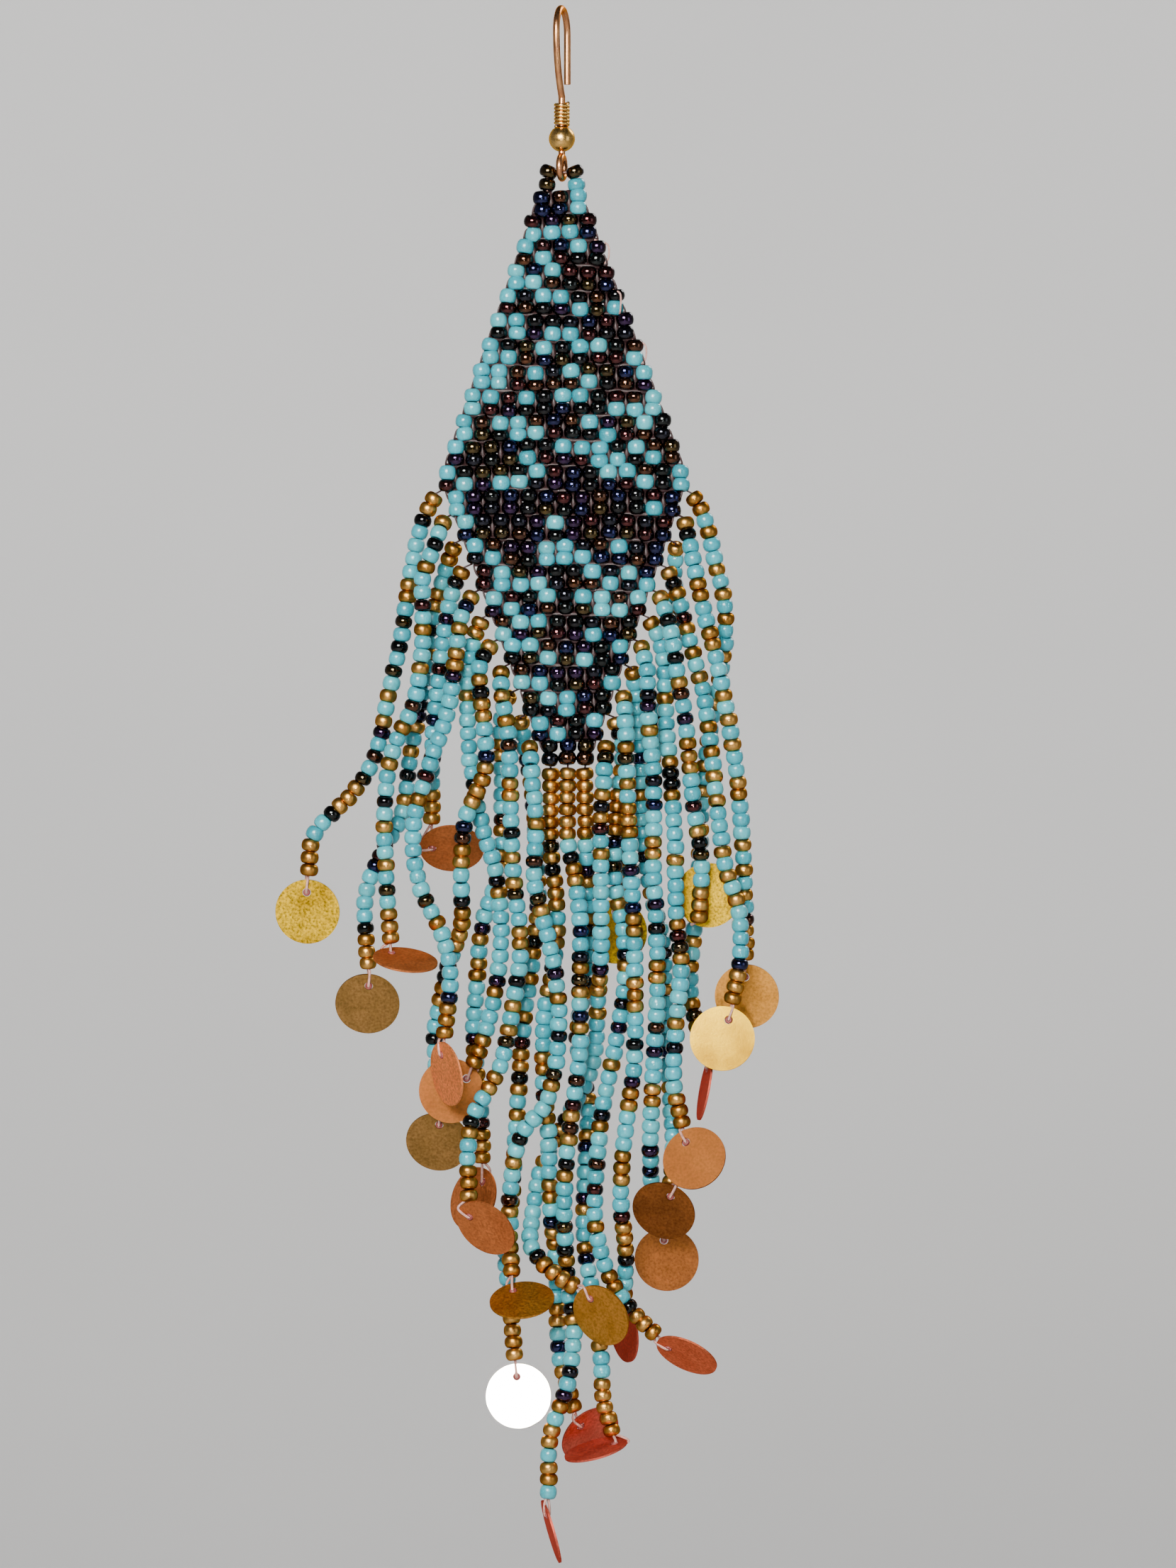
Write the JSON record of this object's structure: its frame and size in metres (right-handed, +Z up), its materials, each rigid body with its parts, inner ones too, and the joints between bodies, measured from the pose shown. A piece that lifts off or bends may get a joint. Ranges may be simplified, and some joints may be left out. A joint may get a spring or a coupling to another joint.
{
  "type": "beaded drop earring",
  "caption": "Drop earring: a gold-coloured ear wire, a diamond of seed beads, and a long fringe of bead strands with a thin metal disc on each end.",
  "frame": {"origin": "under the top bend of the ear wire's hook, where the earring hangs", "axes": "+Z up, +X to the right seen from the front, +Y to the back"},
  "size_m": [0.0593, 0.016, 0.1829],
  "materials": {
    "gold_wire": "polished",
    "beads_dark": "iridescent",
    "beads_turquoise": "gloss, with beads of dark iris and gold-bronze glass between",
    "beads_bronze": "satin gold-bronze, with turquoise and dark iris beads between",
    "gold_discs": "brushed"
  },
  "bodies": {
    "ear_wire": {"ear_wire": "gold_wire", "coil": "gold_wire", "ball": "gold_wire"},
    "drop": {"hanging_loop": "beads_dark", "bead_panel": "beads_turquoise", "strand_l1": "beads_turquoise", "strand_l2": "beads_bronze", "strand_l3": "beads_turquoise", "strand_l4": "beads_bronze", "strand_l5": "beads_turquoise", "strand_l6": "beads_bronze", "strand_l7": "beads_turquoise", "strand_l8": "beads_bronze", "strand_l9": "beads_turquoise", "strand_l10": "beads_bronze", "strand_l11": "beads_turquoise", "strand_r1": "beads_bronze", "strand_r2": "beads_turquoise", "strand_r3": "beads_bronze", "strand_r4": "beads_turquoise", "strand_r5": "beads_bronze", "strand_r6": "beads_turquoise", "strand_r7": "beads_bronze", "strand_r8": "beads_turquoise", "strand_r9": "beads_bronze", "strand_r10": "beads_turquoise", "strand_r11": "beads_bronze", "strand_c1": "beads_turquoise", "strand_c2": "beads_bronze", "strand_c3": "beads_turquoise", "disc_l1": "gold_discs", "disc_l2": "gold_discs", "disc_l3": "gold_discs", "disc_l4": "gold_discs", "disc_l5": "gold_discs", "disc_l6": "gold_discs", "disc_l7": "gold_discs", "disc_l8": "gold_discs", "disc_l9": "gold_discs", "disc_l10": "gold_discs", "disc_l11": "gold_discs", "disc_r1": "gold_discs", "disc_r2": "gold_discs", "disc_r3": "gold_discs", "disc_r4": "gold_discs", "disc_r5": "gold_discs", "disc_r6": "gold_discs", "disc_r7": "gold_discs", "disc_r8": "gold_discs", "disc_r9": "gold_discs", "disc_r10": "gold_discs", "disc_r11": "gold_discs", "disc_c1": "gold_discs", "disc_c2": "gold_discs", "disc_c3": "gold_discs"}
  },
  "joints": [
    {"name": "drop_swing", "type": "hinge", "parent": "ear_wire", "child": "drop", "pos_m": [-0.0002, 0, -0.0189], "axis": [1, 0, 0], "range_deg": [-60, 60]}
  ]
}
